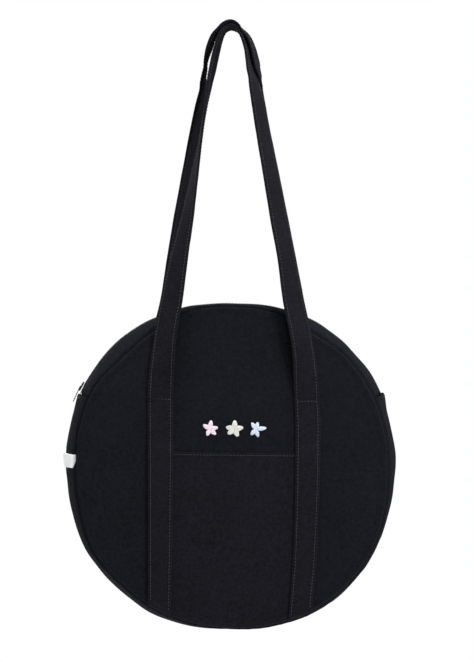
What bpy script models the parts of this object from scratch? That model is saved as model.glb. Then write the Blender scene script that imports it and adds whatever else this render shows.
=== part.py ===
"""Round canvas tote bag with a zipped side strip and two long shoulder handles.

Metres, +Z up, the front towards -Y. The bag hangs by its handles, and the origin is
the point that they hang from: the underside of the front handle's bend.
"""

import math

import bmesh
import bpy
from mathutils import Vector

# Body of the bag
PANEL_RADIUS = 0.180
DEPTH_BOTTOM = 0.080
DEPTH_TOP = 0.056
PANEL_BULGE = 0.012
CANVAS = 0.0016
BACK_RIM_SHARE = 0.995
SEAM_GAP = 0.0004
LAYER_GAP = 0.0003

# Handles
HANDLE_DROP = 0.4202
SEW_HEIGHT = 0.078
STRAP_WIDTH = 0.0285
STRAP_THICKNESS = 0.0032
STRAP_SPACING = 0.164
STRAP_STACK = 0.0073
LEFT_LEAN = 0.0025
RIGHT_LEAN = 0.0078
STRAP_END_MARGIN = 0.0025

# Zip along the top of the side strip
ZIP_HALF_ANGLE = math.radians(64)
ZIP_SLOT = 0.012
ZIP_TAPE_WIDTH = 0.028
ZIP_TAPE = 0.0008
ZIP_COIL_WIDTH = 0.0045
ZIP_COIL = 0.0013
ZIP_SLIT = 0.0006
ZIP_TAPE_GAP = 0.0005
LAP_LIFT = 0.0034
LAP_LENGTH = 0.022
SLIDER_ANGLE = math.radians(-61.5)
SLIDER_LENGTH = 0.011
SLIDER_WIDTH = 0.0085
SLIDER_HEIGHT = 0.0022
PULL_LENGTH = 0.020
PULL_WIDTH = 0.0065
PULL_THICKNESS = 0.0010
PULL_TILT = math.radians(4)

# Pocket, label and embroidered flowers on the front
POCKET_TOP = 0.018
POCKET_CLOTH = 0.0012
POCKET_EDGE = 0.0015
POCKET_RAMP = 0.012
LABEL_HEIGHT = 0.017
LABEL_LENGTH = 0.028
LABEL_THICKNESS = 0.0009
LABEL_RISE = 0.008
LABEL_SEAM_INSET = 0.0025
FLOWER_HEIGHT = 0.046
FLOWER_SPACING = 0.0265
FLOWER_RADIUS = 0.0092
FLOWER_THICKNESS = 0.0010

FRONT = -1
BACK = 1
LEFT = -1
RIGHT = 1
BAG_CENTRE = -(HANDLE_DROP + SEW_HEIGHT)
PROBE = 0.001
WELD = 0.00001

# The bag's outline seen from the front, clockwise from the top, in degrees. The rim
# is the front panel's seam and the crown the widest line of the side strip between
# the two panels. Both are shares of PANEL_RADIUS.
OUTLINE_COLUMNS = ("angle", "rim", "crown")
OUTLINE = [
    (0, 1.012, 1.031),
    (15, 1.010, 1.045),
    (30, 0.984, 1.064),
    (45, 0.996, 1.062),
    (60, 0.990, 1.062),
    (75, 0.980, 1.046),
    (90, 0.973, 1.044),
    (105, 0.985, 1.038),
    (120, 1.008, 1.044),
    (135, 1.016, 1.053),
    (150, 1.013, 1.048),
    (165, 0.998, 1.033),
    (180, 0.983, 1.008),
    (195, 0.986, 1.034),
    (210, 0.990, 1.044),
    (225, 0.992, 1.041),
    (240, 1.004, 1.049),
    (255, 0.984, 1.037),
    (270, 0.990, 1.040),
    (285, 0.993, 1.050),
    (300, 1.004, 1.064),
    (315, 0.984, 1.068),
    (330, 1.008, 1.066),
    (345, 1.022, 1.047),
]

# Half of a handle, from its sewing line to where it hangs. Height is a share of
# HANDLE_DROP, spread of half of STRAP_SPACING, and depth of the sewing line's distance
# from the bag's middle. The twists are in degrees, 0 flat to the front and 90 edge on.
# The back handle lies outside the front one by its stack, a share of STRAP_STACK.
HANDLE_COLUMNS = ("height", "spread", "depth", "front_twist", "back_twist", "stack")
HANDLE = [
    (0.000, 1.000, 1.000, 0, 0, 0.00),
    (0.045, 0.990, 1.010, 6, 6, 0.02),
    (0.110, 0.961, 1.030, 25, 28, 0.10),
    (0.180, 0.915, 1.000, 35, 42, 0.25),
    (0.264, 0.833, 0.900, 37, 57, 0.37),
    (0.371, 0.751, 0.790, 46, 61, 0.40),
    (0.479, 0.663, 0.680, 52, 58, 0.30),
    (0.587, 0.577, 0.565, 60, 57, 0.15),
    (0.696, 0.492, 0.455, 71, 59, -0.08),
    (0.780, 0.419, 0.400, 73, 61, -0.18),
    (0.831, 0.353, 0.360, 76, 70, 0.18),
    (0.858, 0.306, 0.285, 80, 78, 0.85),
    (0.885, 0.266, 0.200, 82, 82, 1.16),
    (0.912, 0.238, 0.130, 81, 82, 1.12),
    (0.940, 0.207, 0.080, 82, 83, 1.02),
    (0.966, 0.169, 0.040, 83, 85, 0.92),
    (0.984, 0.123, 0.016, 86, 88, 0.78),
    (0.995, 0.070, 0.004, 89, 89, 0.68),
    (1.000, 0.000, 0.000, 90, 90, 0.64),
]

# Embroidered flowers, left to right. The long petal's share is the length of the
# petal that points right, against the others.
FLOWERS = [
    {"name": "flower_pink", "turn": 12, "long_petal": 1.0, "core": 0.36},
    {"name": "flower_cream", "turn": 0, "long_petal": 1.0, "core": 0.44},
    {"name": "flower_blue", "turn": -16, "long_petal": 1.35, "core": 0.34},
]
PETALS = 5
POINTS_A_PETAL = 10

COLOURS = {
    "canvas": ((0.011, 0.012, 0.015), 0.9, 0.0),
    "zip": ((0.008, 0.008, 0.009), 0.6, 0.0),
    "slider": ((0.02, 0.02, 0.022), 0.4, 0.8),
    "label": ((0.85, 0.86, 0.85), 0.7, 0.0),
    "flower_pink": ((0.84, 0.66, 0.74), 0.6, 0.0),
    "flower_cream": ((0.80, 0.82, 0.72), 0.6, 0.0),
    "flower_blue": ((0.64, 0.70, 0.86), 0.6, 0.0),
}


def mix(start, end, share):
    """The value at that share of the way from start to end."""
    return start + (end - start) * share


def ease(share):
    """0 to 1 with level ends, and held at them outside that range."""
    held = min(1.0, max(0.0, share))
    return held * held * (3 - 2 * held)


def curve_through(values, place):
    """A smooth curve through evenly spaced values, at a place between 1 and len - 2."""
    index = min(int(place), len(values) - 3)
    share = place - index
    before, start, end, after = values[index - 1 : index + 3]
    return start + 0.5 * share * (
        end
        - before
        + share * (2 * before - 5 * start + 4 * end - after + share * (3 * (start - end) + after - before))
    )


def outline(column, angle):
    """A column of the OUTLINE table at an angle in radians, clockwise from the top."""
    values = [row[OUTLINE_COLUMNS.index(column)] for row in OUTLINE]
    wrapped = values[-1:] + values + values[:2]
    place = math.degrees(angle) % 360 / 360 * len(values)
    return curve_through(wrapped, place + 1)


def rim(side, angle):
    """Radius of a panel's seam."""
    share = outline("rim", angle) if side == FRONT else BACK_RIM_SHARE
    return PANEL_RADIUS * share


def half_depth(z):
    """Half of the distance between the two panels' seams, at a height."""
    share = (z - BAG_CENTRE + PANEL_RADIUS) / (2 * PANEL_RADIUS)
    return mix(DEPTH_BOTTOM, DEPTH_TOP, share) / 2


def panel_point(side, x, z, outwards=0.0):
    """A point of a panel's outer face, moved outwards by a distance."""
    angle = math.atan2(x, z - BAG_CENTRE)
    share = math.hypot(x, z - BAG_CENTRE) / rim(side, angle)
    depth = half_depth(z) + PANEL_BULGE * (1 - share**2) + outwards
    return Vector((x, side * depth, z))


def rim_bottom(side, x, margin):
    """The height of a panel's lower edge at x, a margin inside its seam."""
    angle = math.pi
    for _ in range(20):
        radius = rim(side, angle) - margin
        angle = math.pi - math.asin(x / radius)
    return BAG_CENTRE + radius * math.cos(angle)


def side_strip_point(angle, across, outwards=0.0):
    """A point of the side strip's outer face, with across from -1 at the front seam to 1."""
    rims = [rim(FRONT, angle), rim(BACK, angle)]
    crown = PANEL_RADIUS * outline("crown", angle)
    edge = mix(rims[0], rims[1], (across + 1) / 2)
    radius = edge + (crown - sum(rims) / 2) * (1 - across**2) + outwards
    x = radius * math.sin(angle)
    z = BAG_CENTRE + radius * math.cos(angle)
    reach = half_depth(z) - CANVAS - SEAM_GAP
    return Vector((x, across * reach, z))


def side_strip_share(angle, width):
    """The share of the side strip's half depth that a distance from its middle is."""
    z = BAG_CENTRE + PANEL_RADIUS * math.cos(angle)
    return width / (half_depth(z) - CANVAS - SEAM_GAP)


def spread_values(start, end, count):
    """count + 1 values from start to end, evenly apart."""
    return [mix(start, end, i / count) for i in range(count + 1)]


def material(name):
    """The plain material of that name."""
    found = bpy.data.materials.get(name)
    if found:
        return found
    colour, roughness, metallic = COLOURS[name]
    made = bpy.data.materials.new(name)
    made.use_nodes = True
    shader = made.node_tree.nodes["Principled BSDF"]
    shader.inputs["Base Color"].default_value = (*colour, 1)
    shader.inputs["Roughness"].default_value = roughness
    shader.inputs["Metallic"].default_value = metallic
    return made


def add_object(name, data, look, collection):
    """A named object with its material, in a collection."""
    made = bpy.data.objects.new(name, data)
    data.materials.append(material(look))
    collection.objects.link(made)
    return made


def cloth_sheet(name, rows, thickness, offset, look, collection):
    """A grid laid through rows of points and thickened to a wall of cloth."""
    columns = len(rows[0]) - 1
    lines = len(rows) - 1
    grid = bmesh.new()
    bmesh.ops.create_grid(grid, x_segments=columns, y_segments=lines, size=0.5)
    for vertex in grid.verts:
        column = round((vertex.co.x + 0.5) * columns)
        row = round((vertex.co.y + 0.5) * lines)
        vertex.co = rows[row][column]
    bmesh.ops.remove_doubles(grid, verts=grid.verts, dist=WELD)
    data = bpy.data.meshes.new(name)
    grid.to_mesh(data)
    grid.free()
    data.shade_smooth()
    made = add_object(name, data, look, collection)
    wall = made.modifiers.new("Wall", "SOLIDIFY")
    wall.thickness = thickness
    wall.offset = offset
    wall.use_even_offset = True
    return made


def build_panels(collection):
    """The round front and back panels, domed slightly outwards."""
    turns, rings = 60, 4
    for side, name in ((FRONT, "front_panel"), (BACK, "back_panel")):
        rows = []
        for share in spread_values(0, 1, rings):
            row = []
            for angle in spread_values(0, 2 * math.pi, turns):
                radius = rim(side, angle) * share
                row.append(panel_point(side, radius * math.sin(angle), BAG_CENTRE + radius * math.cos(angle)))
            rows.append(row)
        cloth_sheet(name, rows, CANVAS, side, "canvas", collection)


def lap_lift(angle):
    """How far the lower strip's end stands out where it laps over the zip's end."""
    from_right = (angle - ZIP_HALF_ANGLE) * PANEL_RADIUS
    from_left = (2 * math.pi - ZIP_HALF_ANGLE - angle) * PANEL_RADIUS
    right = LAP_LIFT * (1 - ease(from_right / LAP_LENGTH))
    left = LAP_LIFT / 2 * (1 - ease(from_left / LAP_LENGTH))
    return right + left


def build_side_strips(collection):
    """The lower side strip, and the two strips beside the zip."""
    gap = SEAM_GAP / PANEL_RADIUS / 2
    rows = []
    for angle in spread_values(ZIP_HALF_ANGLE + gap, 2 * math.pi - ZIP_HALF_ANGLE - gap, 40):
        rows.append(
            [
                side_strip_point(angle, across, lap_lift(angle) * (1 - across**2))
                for across in spread_values(-1, 1, 6)
            ]
        )
    cloth_sheet("side_strip", rows, CANVAS, 1, "canvas", collection)
    for side, name in ((FRONT, "zip_strip_front"), (BACK, "zip_strip_back")):
        rows = []
        for angle in spread_values(-ZIP_HALF_ANGLE + gap, ZIP_HALF_ANGLE - gap, 24):
            inner = side_strip_share(angle, ZIP_SLOT / 2)
            rows.append([side_strip_point(angle, side * across) for across in spread_values(inner, 1, 3)])
        cloth_sheet(name, rows, CANVAS, side, "canvas", collection)


def build_zip(collection):
    """The zip's two tapes under the strips, and its closed coil."""
    gap = SEAM_GAP / PANEL_RADIUS / 2
    tape_face = -(CANVAS + ZIP_TAPE_GAP)
    angles = spread_values(-ZIP_HALF_ANGLE + gap, ZIP_HALF_ANGLE - gap, 24)
    for side, name in ((FRONT, "zip_tape_front"), (BACK, "zip_tape_back")):
        rows = []
        for angle in angles:
            inner = side_strip_share(angle, ZIP_SLIT / 2)
            outer = side_strip_share(angle, ZIP_TAPE_WIDTH / 2)
            rows.append(
                [side_strip_point(angle, side * across, tape_face) for across in spread_values(inner, outer, 2)]
            )
        cloth_sheet(name, rows, ZIP_TAPE, side, "zip", collection)
    rows = []
    for angle in angles:
        edge = side_strip_share(angle, ZIP_COIL_WIDTH / 2)
        rows.append(
            [side_strip_point(angle, across, tape_face + LAYER_GAP) for across in spread_values(-edge, edge, 2)]
        )
    cloth_sheet("zip_coil", rows, ZIP_COIL, -1, "zip", collection)


def strap_panel_offset(side, z):
    """How far a sewn strap's middle lies outside the panel, on the pocket at the front."""
    offset = LAYER_GAP + STRAP_THICKNESS / 2
    if side == FRONT:
        top = BAG_CENTRE + POCKET_TOP + POCKET_RAMP
        offset += (POCKET_CLOTH + LAYER_GAP) * ease((top - z) / (POCKET_RAMP - POCKET_EDGE))
    return offset


def strap_lean(leg, share):
    """How far a front strap leans to the left, with share 0 at the sewing line."""
    return (LEFT_LEAN if leg == LEFT else RIGHT_LEAN) * share**2


def sewn_row(side, leg, share, columns):
    """A row of a strap on its panel, with share 0 at the sewing line and 1 at the bottom seam."""
    sewing_line = BAG_CENTRE + SEW_HEIGHT
    row = []
    for across in columns:
        x = leg * (STRAP_SPACING / 2 + across * STRAP_WIDTH)
        if side == FRONT:
            x -= strap_lean(leg, share)
        z = mix(sewing_line, rim_bottom(side, x, STRAP_END_MARGIN), share)
        row.append(panel_point(side, x, z, strap_panel_offset(side, z)))
    return row


def pocket_shares():
    """Shares of the sewn stretch where a strap steps over the pocket's edge."""
    bottom = rim_bottom(FRONT, STRAP_SPACING / 2, STRAP_END_MARGIN)
    sewing_line = BAG_CENTRE + SEW_HEIGHT
    heights = [POCKET_TOP + POCKET_RAMP, POCKET_TOP + (POCKET_RAMP + POCKET_EDGE) / 2, POCKET_TOP + POCKET_EDGE]
    return [(sewing_line - BAG_CENTRE - height) / (sewing_line - bottom) for height in heights]


def handle_line(side, place):
    """A handle's middle, twist and stack, with place from -1 on the left to 1 on the right."""
    half = len(HANDLE) - 1
    values = {}
    for name in HANDLE_COLUMNS:
        column = HANDLE_COLUMNS.index(name)
        halves = [row[column] for row in HANDLE]
        sign = -1 if name == "spread" else 1
        whole = [sign * value for value in halves] + halves[-2::-1]
        padded = [2 * whole[0] - whole[1]] + whole + [2 * whole[-1] - whole[-2]]
        values[name] = curve_through(padded, 1 + (place + 1) * half)
    foot = panel_point(side, STRAP_SPACING / 2, BAG_CENTRE + SEW_HEIGHT, LAYER_GAP + STRAP_THICKNESS / 2)
    middle = Vector(
        (
            values["spread"] * STRAP_SPACING / 2,
            values["depth"] * foot.y,
            -HANDLE_DROP + values["height"] * (HANDLE_DROP + STRAP_THICKNESS / 2),
        )
    )
    twist = values["front_twist" if side == FRONT else "back_twist"]
    stack = values["stack"] * STRAP_STACK if side == BACK else 0.0
    return middle, math.radians(twist), stack


def free_row(side, place, columns):
    """A row across the free part of a handle."""
    middle, twist, stack = handle_line(side, place)
    along = (handle_line(side, min(1, place + PROBE))[0] - handle_line(side, max(-1, place - PROBE))[0]).normalized()
    depthwise = (Vector((0, 1, 0)) - along * along.y).normalized()
    outwards = along.cross(depthwise)
    across = outwards * math.cos(twist) - side * depthwise * math.sin(twist)
    return [middle + outwards * stack + across * share * STRAP_WIDTH for share in columns]


def build_handles(collection):
    """Each handle is one strap: sewn up the panel, over the hanging point and down again."""
    columns = spread_values(-0.5, 0.5, 2)
    steps = spread_values(-1, 1, 54)[1:-1]
    for side, name in ((FRONT, "front_handle"), (BACK, "back_handle")):
        shares = sorted(spread_values(0, 1, 12) + pocket_shares())
        rows = [sewn_row(side, LEFT, share, columns) for share in reversed(shares)]
        rows += [free_row(side, step, columns) for step in steps]
        rows += [sewn_row(side, RIGHT, share, columns) for share in shares]
        cloth_sheet(name, rows, STRAP_THICKNESS, 0, "canvas", collection)


def build_pocket(collection):
    """The patch pocket between the front straps, its sides caught under them."""
    edge = STRAP_SPACING / 2 + STRAP_WIDTH / 2 - POCKET_EDGE
    rows = []
    for share in spread_values(0, 1, 8):
        row = []
        sewn_share = mix((SEW_HEIGHT - POCKET_TOP) / (SEW_HEIGHT + PANEL_RADIUS), 1, share)
        sides = [leg * edge - strap_lean(leg, sewn_share) for leg in (LEFT, RIGHT)]
        for x in spread_values(*sides, 10):
            z = mix(BAG_CENTRE + POCKET_TOP, rim_bottom(FRONT, x, STRAP_END_MARGIN), share)
            row.append(panel_point(FRONT, x, z, LAYER_GAP))
        rows.append(row)
    cloth_sheet("front_pocket", rows, POCKET_CLOTH, -1, "canvas", collection)


def build_label(collection):
    """The blank folded label, caught in the front seam and lying on the side strip."""
    middle = 2 * math.pi - math.acos(LABEL_RISE / PANEL_RADIUS)
    half_turn = LABEL_HEIGHT / PANEL_RADIUS / 2
    rows = []
    for angle in spread_values(middle - half_turn, middle + half_turn, 2):
        start = side_strip_share(angle, LABEL_SEAM_INSET) - 1
        end = start + side_strip_share(angle, LABEL_LENGTH)
        rows.append([side_strip_point(angle, across, LAYER_GAP * 2) for across in spread_values(start, end, 5)])
    cloth_sheet("side_label", rows, LABEL_THICKNESS, -1, "label", collection)


def petal_outline(flower):
    """The outline of a flower of pointed petals, as points from its centre."""
    points = []
    count = PETALS * POINTS_A_PETAL
    for i in range(count):
        petal, step = divmod(i, POINTS_A_PETAL)
        lobe = math.sin(math.pi * step / POINTS_A_PETAL) ** 0.75
        turn = math.radians(flower["turn"] + 90 - (petal + step / POINTS_A_PETAL - 0.5) * 360 / PETALS)
        tip = flower["long_petal"] if petal == 1 else 1.0
        radius = FLOWER_RADIUS * mix(flower["core"], tip, lobe)
        points.append((radius * math.cos(turn), radius * math.sin(turn)))
    return points


def build_flowers(collection):
    """Three embroidered five-petal flowers in a row above the pocket, slightly raised."""
    for i, flower in enumerate(FLOWERS):
        outline_curve = bpy.data.curves.new(flower["name"], "CURVE")
        outline_curve.dimensions = "2D"
        outline_curve.fill_mode = "BOTH"
        outline_curve.extrude = FLOWER_THICKNESS / 2
        points = petal_outline(flower)
        spline = outline_curve.splines.new("POLY")
        spline.points.add(len(points) - 1)
        spline.use_cyclic_u = True
        for point, (across, up) in zip(spline.points, points):
            point.co = (across, up, 0, 1)
        made = add_object(flower["name"], outline_curve, flower["name"], collection)
        x = (i - (len(FLOWERS) - 1) / 2) * FLOWER_SPACING
        z = BAG_CENTRE + FLOWER_HEIGHT
        seat = panel_point(FRONT, x, z)
        right = (panel_point(FRONT, x + PROBE, z) - seat).normalized()
        normal = right.cross(panel_point(FRONT, x, z + PROBE) - seat).normalized()
        made.location = seat + normal * (LAYER_GAP + FLOWER_THICKNESS / 2)
        made.rotation_euler = normal.to_track_quat("Z", "Y").to_euler()


def block(name, size, bevel, collection):
    """A box with rounded edges, centred on its origin."""
    shape = bmesh.new()
    bmesh.ops.create_cube(shape, size=1)
    bmesh.ops.scale(shape, vec=size, verts=shape.verts)
    data = bpy.data.meshes.new(name)
    shape.to_mesh(data)
    shape.free()
    made = add_object(name, data, "slider", collection)
    rounding = made.modifiers.new("Rounding", "BEVEL")
    rounding.width = bevel
    rounding.segments = 2
    return made


def build_slider(collection, cutters):
    """The slider at the closed end of the zip, with its pull lying down the side strip."""
    seat = side_strip_point(SLIDER_ANGLE, 0)
    outwards = Vector((math.sin(SLIDER_ANGLE), 0, math.cos(SLIDER_ANGLE)))
    slider = block("zip_slider", (SLIDER_LENGTH, SLIDER_WIDTH, SLIDER_HEIGHT), SLIDER_HEIGHT / 5, collection)
    slider.location = seat + outwards * (LAYER_GAP * 2 + SLIDER_HEIGHT / 2)
    slider.rotation_euler = (0, SLIDER_ANGLE, 0)
    pull = block("pull_shape", (PULL_LENGTH, PULL_WIDTH, PULL_THICKNESS), PULL_THICKNESS / 4, cutters)
    pull.parent = slider
    pull.location = (
        -PULL_LENGTH / 2 * math.cos(PULL_TILT),
        0,
        SLIDER_HEIGHT / 2 + PULL_THICKNESS / 4 - PULL_LENGTH / 2 * math.sin(PULL_TILT),
    )
    pull.rotation_euler = (0, -PULL_TILT, 0)
    pull.hide_render = True
    pull.display_type = "WIRE"
    joining = slider.modifiers.new("Pull", "BOOLEAN")
    joining.operation = "UNION"
    joining.object = pull


def main():
    for old in list(bpy.data.objects):
        bpy.data.objects.remove(old)
    parts = bpy.data.collections.new("circle_tote_bag")
    cutters = bpy.data.collections.new("cutters")
    for collection in (parts, cutters):
        bpy.context.scene.collection.children.link(collection)
    build_panels(parts)
    build_side_strips(parts)
    build_zip(parts)
    build_handles(parts)
    build_pocket(parts)
    build_label(parts)
    build_flowers(parts)
    build_slider(parts, cutters)


main()
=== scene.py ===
"""Looks of a round canvas tote bag that hangs by its two long handles."""

import math

import bmesh
import bpy
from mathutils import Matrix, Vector, noise


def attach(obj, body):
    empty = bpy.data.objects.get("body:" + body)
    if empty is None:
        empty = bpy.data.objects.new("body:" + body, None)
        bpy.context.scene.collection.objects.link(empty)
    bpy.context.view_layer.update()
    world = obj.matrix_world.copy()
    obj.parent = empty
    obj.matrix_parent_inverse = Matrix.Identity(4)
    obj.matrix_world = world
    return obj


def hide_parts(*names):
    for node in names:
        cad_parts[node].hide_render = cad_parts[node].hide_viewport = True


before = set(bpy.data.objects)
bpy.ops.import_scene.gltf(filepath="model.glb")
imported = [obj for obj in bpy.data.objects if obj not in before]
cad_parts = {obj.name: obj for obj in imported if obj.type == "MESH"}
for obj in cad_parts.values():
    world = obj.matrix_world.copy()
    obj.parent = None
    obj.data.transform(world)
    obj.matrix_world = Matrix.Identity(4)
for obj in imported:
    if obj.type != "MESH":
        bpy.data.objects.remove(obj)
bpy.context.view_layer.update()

# The bag's sizes in metres. LEFT_LEAN and some rows of the tables are closer to the photo than the solids
PANEL_RADIUS = 0.180
DEPTH_BOTTOM = 0.080
DEPTH_TOP = 0.056
PANEL_BULGE = 0.012
CANVAS = 0.0016
BACK_RIM_SHARE = 0.995
SEAM_GAP = 0.0004
LAYER_GAP = 0.0003
HANDLE_DROP = 0.4202
SEW_HEIGHT = 0.078
STRAP_WIDTH = 0.0285
STRAP_THICKNESS = 0.0032
STRAP_SPACING = 0.164
STRAP_STACK = 0.0073
LEFT_LEAN = 0.0010
RIGHT_LEAN = 0.0078
STRAP_END_MARGIN = 0.0025
ZIP_HALF_ANGLE = math.radians(64)
ZIP_SLOT = 0.012
ZIP_TAPE_WIDTH = 0.028
ZIP_TAPE = 0.0008
ZIP_COIL_WIDTH = 0.0045
ZIP_COIL = 0.0013
ZIP_SLIT = 0.0006
ZIP_TAPE_GAP = 0.0005
LAP_LIFT = 0.0034
LAP_LENGTH = 0.022
SLIDER_ANGLE = math.radians(-61.5)
SLIDER_LENGTH = 0.011
SLIDER_WIDTH = 0.0085
SLIDER_HEIGHT = 0.0022
PULL_LENGTH = 0.020
PULL_WIDTH = 0.0065
PULL_THICKNESS = 0.0010
PULL_TILT = math.radians(4)
POCKET_TOP = 0.018
POCKET_CLOTH = 0.0012
POCKET_EDGE = 0.0015
POCKET_RAMP = 0.012
LABEL_HEIGHT = 0.017
LABEL_LENGTH = 0.028
LABEL_THICKNESS = 0.0009
LABEL_RISE = 0.008
FLOWER_HEIGHT = 0.046
FLOWER_SPACING = 0.0265
FRONT = -1
BACK = 1
LEFT = -1
RIGHT = 1
BAG_CENTRE = -(HANDLE_DROP + SEW_HEIGHT)
PROBE = 0.001
SIDESTEP = 0.0004
WELD = 0.00001
MILLIMETRE = 0.001

# Sizes of the sewing and the cloth's fine shape
SEAM_ROLL = 0.0021
SEAM_INSET = 0.0009
FOLD_ROLL = 0.0009
SEAM_STEPS = (0.0, 0.0007, 0.0012, 0.0015, 0.0018, 0.0021, 0.0024, 0.0028, 0.0034, 0.0044, 0.0060)
STITCH_PITCH = 0.0037
STITCH_LENGTH = 0.0021
STITCH_RADIUS = 0.00042
STRAP_STITCH_INSET = 0.0031
POCKET_STITCH_INSET = 0.0027
THREAD_PITCH = 0.00062
SEAM_CREASE = 0.0011
SEAM_CREASE_EDGE = 0.0019
SEAM_CREASE_DEPTH = 0.0052
STRIP_SWELL = 0.0014
STRIP_END_ROLL = 0.0013
STRIP_STITCH_INSET = 0.0034
STRIP_STITCH_MARGIN = 0.011
STRAP_TUCK = 0.0026
STRAP_TUCK_SINK = 0.0042
RIGHT_BOW = 0.0012
NEEDLE_DIPS = (0.12, 0.34)
ZIP_END_TUCK = 0.005 / PANEL_RADIUS
ZIP_SINK_START = 0.0028
ZIP_END_SINK = 0.0030
ZIP_STITCH_INSET = 0.0024
ZIP_STITCH_END = 0.004
COIL_PITCH = 0.0014
COIL_STITCH_PITCH = 0.0021
POCKET_HEM = [(0.0003, 0.0009), (0.0, 0.0005), (0.0008, 0.0002), (0.003, 0.0)]
POCKET_TUCK_SINK = 0.0026
LABEL_TRIM = 0.0022
LABEL_SHIFT = 0.0020
LABEL_SLANT = 0.0008
LABEL_CURL = 0.0016
# Places and heights along a stitch and a tooth, and the thread's thickness there
STITCH_PATH = ((-0.5, -1.1), (-0.34, 0.1), (0.0, 0.6), (0.34, 0.1), (0.5, -1.1))
STITCH_SWELL = (0.6, 0.9, 1.0, 0.9, 0.6)
COIL_PATH = ((1.0, 0.15), (0.86, 0.62), (0.4, 0.8), (0.0, 0.82), (-0.22, 0.62), (-0.3, 0.3))
COIL_RADII = (0.00032, 0.00036, 0.00036, 0.00042, 0.00046, 0.00036)
PETAL_RADII = (0.00015, 0.00021, 0.00023, 0.00023, 0.00022, 0.00020, 0.00014)

# The room
FLOOR_RADIUS = 2.6
FLOOR_LEVEL = -1.5
FILL_LIGHT = 0.16
CAMERA_DISTANCE = 2.4
CAMERA_TURN = math.radians(4)
VIEW_HEIGHT = 0.752
VIEW_CENTRE = (0.006, 0, -0.3437)

# The outline by the angle from the top in degrees, as shares of PANEL_RADIUS
OUTLINE_COLUMNS = ("angle", "rim", "crown")
OUTLINE = [
    (0, 1.012, 1.031),
    (15, 1.010, 1.045),
    (30, 0.984, 1.064),
    (45, 0.996, 1.062),
    (60, 0.990, 1.062),
    (75, 0.980, 1.046),
    (90, 0.973, 1.044),
    (105, 0.985, 1.038),
    (120, 1.008, 1.044),
    (135, 1.016, 1.053),
    (150, 1.013, 1.048),
    (165, 0.998, 1.033),
    (180, 0.985, 1.011),
    (195, 0.986, 1.034),
    (210, 0.990, 1.044),
    (225, 0.992, 1.041),
    (240, 1.004, 1.049),
    (255, 0.984, 1.037),
    (270, 0.980, 1.040),
    (285, 0.993, 1.050),
    (300, 1.004, 1.064),
    (315, 0.979, 1.068),
    (330, 0.993, 1.066),
    (345, 1.022, 1.047),
]
# A handle's middle line, as shares of its height, STRAP_SPACING, the panel's depth and STRAP_STACK
HANDLE_COLUMNS = ("height", "spread", "depth", "stack")
HANDLE = [
    (0.000, 1.000, 1.000, 0.00),
    (0.045, 0.990, 1.010, 0.02),
    (0.110, 0.961, 1.030, 0.10),
    (0.180, 0.915, 1.000, 0.25),
    (0.264, 0.833, 0.900, 0.37),
    (0.371, 0.751, 0.790, 0.40),
    (0.479, 0.663, 0.680, 0.30),
    (0.587, 0.577, 0.565, 0.15),
    (0.696, 0.492, 0.455, -0.08),
    (0.780, 0.419, 0.400, -0.18),
    (0.831, 0.353, 0.360, 0.18),
    (0.858, 0.306, 0.285, 0.85),
    (0.885, 0.266, 0.200, 1.16),
    (0.912, 0.238, 0.130, 1.12),
    (0.940, 0.207, 0.080, 1.02),
    (0.966, 0.169, 0.040, 0.92),
    (0.984, 0.123, 0.016, 0.74),
    (0.995, 0.070, 0.004, 0.66),
    (1.000, 0.000, 0.000, 0.62),
]
# For the same heights, each strap's twist in degrees and how far it hangs off that line in millimetres,
# both for the left leg and the right leg
STRAP_HANG = {
    FRONT: [
        ((0, 0), (0, 0)),
        ((6, 6), (0, 0)),
        ((24, 23), (-0.2, 0)),
        ((33, 28), (-0.6, -0.5)),
        ((34, 29), (-0.8, -0.95)),
        ((49, 39), (0.55, -1.0)),
        ((64.5, 41), (2.85, -2.0)),
        ((77, 46), (3.7, -2.8)),
        ((89, 51), (4.6, -4.0)),
        ((94, 55), (4.5, -4.1)),
        ((100, 60), (2.5, -2.65)),
        ((104, 65), (0.6, -0.6)),
        ((106, 69), (0.1, 0.0)),
        ((106, 71), (0.4, 0.65)),
        ((105, 71), (0.7, 1.65)),
        ((103, 75), (0.8, 1.1)),
        ((100, 81), (0.4, 0.1)),
        ((97, 89), (0.1, -0.1)),
        ((95, 95), (0, 0)),
    ],
    BACK: [
        ((0, 0), (0, 0)),
        ((6, 6), (0, 0)),
        ((28, 28), (0, 0.3)),
        ((42, 46), (-0.3, 1.2)),
        ((57, 63), (-0.5, 2.3)),
        ((61, 69), (-0.8, 2.3)),
        ((58, 68), (-0.7, 1.75)),
        ((57, 70), (-0.5, 1.95)),
        ((61, 71), (-1.45, 1.7)),
        ((65, 79), (-1.9, 3.55)),
        ((75, 91), (-1.1, 4.6)),
        ((83, 103), (-0.2, 3.4)),
        ((84, 107), (0.8, 1.1)),
        ((81, 107), (-0.3, 0.5)),
        ((76.5, 105), (-0.5, 0.7)),
        ((79, 103), (-0.5, -0.2)),
        ((83, 100), (-0.1, -2.2)),
        ((84.5, 91), (-0.7, -2.0)),
        ((85, 85), (-1.2, -1.2)),
    ],
}

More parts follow.
